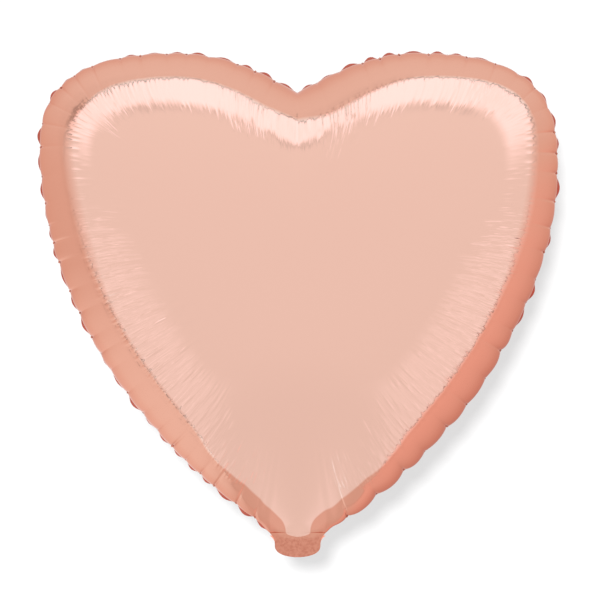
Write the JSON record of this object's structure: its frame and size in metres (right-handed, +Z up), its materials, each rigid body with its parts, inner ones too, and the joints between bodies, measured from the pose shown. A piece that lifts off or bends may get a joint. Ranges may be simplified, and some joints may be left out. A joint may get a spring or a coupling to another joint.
{
  "type": "heart foil balloon",
  "caption": "Inflated heart-shaped metallised film balloon with a sealed rim, a folding tail at the tip and a self-closing film valve inside.",
  "frame": {"origin": "middle of the neck, on the middle plane between the two films, where the balloon is tied and its tail folds", "axes": "+Z up from the neck to the cleft of the heart, +X across the heart, -Y towards the front"},
  "size_m": [0.4, 0.144, 0.389],
  "materials": {
    "foil_front": "mirror-bright rose gold metallised film",
    "foil_rear": "mirror-bright rose gold metallised film",
    "tail_foil": "bright rose gold metallised film, crimped",
    "heat_seal": "fused sealing layers, satin",
    "valve_film": "clear film"
  },
  "bodies": {
    "balloon": {"front_panel": "foil_front", "rear_panel": "foil_rear", "perimeter_seal": "heat_seal", "neck_valve_front_film": "valve_film", "neck_valve_rear_film": "valve_film"},
    "tail": {"tail_front_layer": "tail_foil", "tail_rear_layer": "tail_foil", "tail_seal_left": "heat_seal", "tail_seal_right": "heat_seal", "tail_valve_front_film": "valve_film", "tail_valve_rear_film": "valve_film"},
    "valve_front_flap": {"inner_valve_front_film": "valve_film"},
    "valve_rear_flap": {"inner_valve_rear_film": "valve_film"}
  },
  "joints": [
    {"name": "tail_fold", "type": "hinge", "parent": "balloon", "child": "tail", "pos_m": [0, 0, 0], "axis": [1, 0, 0], "range_deg": [-90, 90]},
    {"name": "valve_front_opening", "type": "hinge", "parent": "balloon", "child": "valve_front_flap", "pos_m": [0, 0, 0.0058], "axis": [1, 0, 0], "range_deg": [0, 8], "stiffness_Nm_per_rad": 0.001},
    {"name": "valve_rear_opening", "type": "hinge", "parent": "balloon", "child": "valve_rear_flap", "pos_m": [0, 0, 0.0058], "axis": [1, 0, 0], "range_deg": [-8, 0], "stiffness_Nm_per_rad": 0.001}
  ],
  "couplings": [
    {"joint": "valve_rear_opening", "follows": "valve_front_opening", "ratio": -1}
  ]
}
